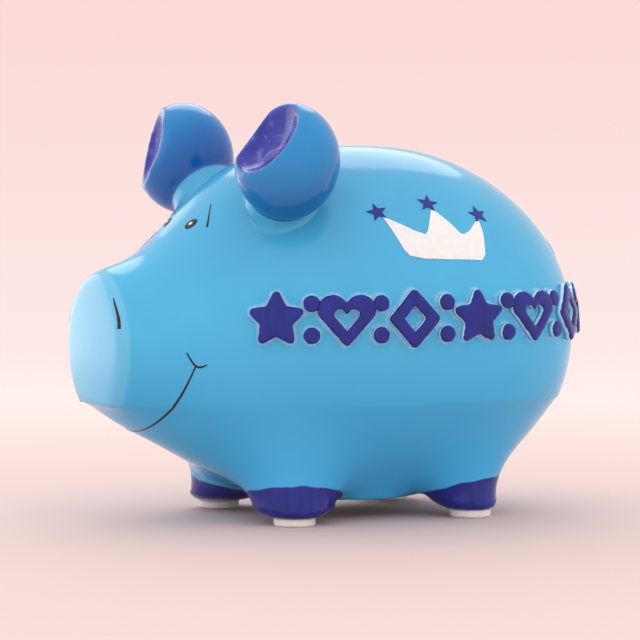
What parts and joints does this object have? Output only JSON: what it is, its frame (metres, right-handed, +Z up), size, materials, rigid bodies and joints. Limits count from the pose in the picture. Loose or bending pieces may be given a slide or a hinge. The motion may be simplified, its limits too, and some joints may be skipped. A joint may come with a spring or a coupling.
{
  "type": "piggy bank",
  "caption": "Hollow glazed ceramic piggy bank with a coin slot in its back, scooped ears, a raised ornament band, foot pads and a pull-out belly stopper.",
  "frame": {"origin": "on the floor, under the middle of the pig's body", "axes": "+Z up, +X towards the pig's own left side, -Y towards the snout"},
  "size_m": [0.0885, 0.1258, 0.1021],
  "materials": {
    "body_glaze": "gloss",
    "cobalt_glaze": "gloss",
    "pad_felt": "matte",
    "stopper_vinyl": "satin"
  },
  "bodies": {
    "bank": {"body_shell": "body_glaze", "left_ear": "body_glaze", "right_ear": "body_glaze", "tail": "body_glaze", "relief_star_1": "cobalt_glaze", "relief_heart_1": "cobalt_glaze", "relief_diamond_1": "cobalt_glaze", "relief_star_2": "cobalt_glaze", "relief_heart_2": "cobalt_glaze", "relief_diamond_2": "cobalt_glaze", "relief_star_3": "cobalt_glaze", "relief_dots_1": "cobalt_glaze", "relief_dots_2": "cobalt_glaze", "relief_dots_3": "cobalt_glaze", "relief_dots_4": "cobalt_glaze", "relief_dots_5": "cobalt_glaze", "relief_dots_6": "cobalt_glaze", "foot_pad_front_left": "pad_felt", "foot_pad_front_right": "pad_felt", "foot_pad_rear_left": "pad_felt", "foot_pad_rear_right": "pad_felt"},
    "stopper": {"belly_stopper": "stopper_vinyl"}
  },
  "joints": [
    {"name": "stopper_pull", "type": "slide", "parent": "bank", "child": "stopper", "axis": [0, 0, -1], "range_m": [0, 0.0045]}
  ]
}
